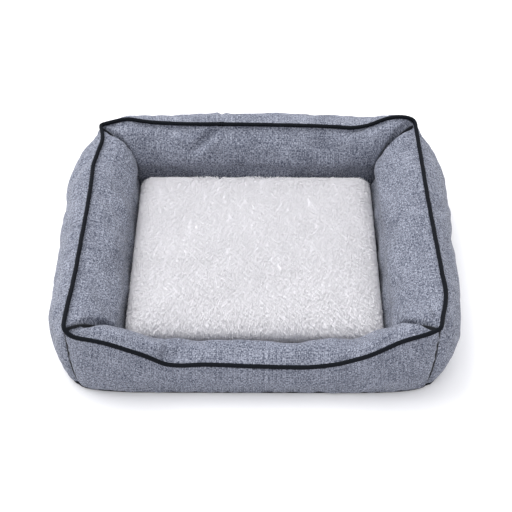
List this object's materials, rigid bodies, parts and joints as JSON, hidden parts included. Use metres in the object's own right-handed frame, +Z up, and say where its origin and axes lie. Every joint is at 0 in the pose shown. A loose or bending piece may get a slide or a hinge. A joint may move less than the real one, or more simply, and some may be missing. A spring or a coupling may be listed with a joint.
{
  "type": "pet cushion bed",
  "caption": "Rectangular pet bed with stuffed fabric walls, a piped rim that dips low at the front for entry, and a lift-out plush cushion in the well.",
  "frame": {"origin": "centre of the overall footprint, on the floor under the bed", "axes": "+X to the right along the longer side, +Y towards the back wall, +Z up; the low entry faces -Y"},
  "size_m": [0.6426, 0.5664, 0.1437],
  "materials": {
    "weave_fabric": "blue-grey melange linen-look polyester weave",
    "piping_fabric": "dark navy bias-cut plain weave",
    "bottom_fabric": "dark plain polyester with fine anti-slip dots",
    "fibre_fill": "white polyester fibre",
    "plush_pile": "white long-pile faux fur",
    "zip_nylon": "dark woven tape and nylon coil",
    "zip_metal": "plain nickel-plated zinc"
  },
  "bodies": {
    "bed": {"outer_panel_front": "weave_fabric", "inner_panel_front": "weave_fabric", "wall_stuffing_front": "fibre_fill", "outer_panel_right": "weave_fabric", "inner_panel_right": "weave_fabric", "wall_stuffing_right": "fibre_fill", "outer_panel_back": "weave_fabric", "inner_panel_back": "weave_fabric", "wall_stuffing_back": "fibre_fill", "outer_panel_left": "weave_fabric", "inner_panel_left": "weave_fabric", "wall_stuffing_left": "fibre_fill", "piping_cover": "piping_fabric", "piping_cord": "fibre_fill", "base_panel": "bottom_fabric", "base_wadding": "fibre_fill", "well_floor": "weave_fabric"},
    "cushion": {"cushion_plush_top": "plush_pile", "cushion_underside": "weave_fabric", "cushion_fill": "fibre_fill", "zip_tape_upper": "zip_nylon", "zip_tape_lower": "zip_nylon", "zip_coil": "zip_nylon", "zip_stop_left": "zip_metal", "zip_stop_right": "zip_metal"},
    "zip_slider": {"zip_slider": "zip_metal", "zip_pull": "piping_fabric"}
  },
  "joints": [
    {"name": "cushion_lift", "type": "slide", "parent": "bed", "child": "cushion", "axis": [0, 0, 1], "range_m": [0, 0.16]},
    {"name": "zip_slide", "type": "slide", "parent": "cushion", "child": "zip_slider", "axis": [-1, 0, 0], "range_m": [0, 0.284]}
  ]
}
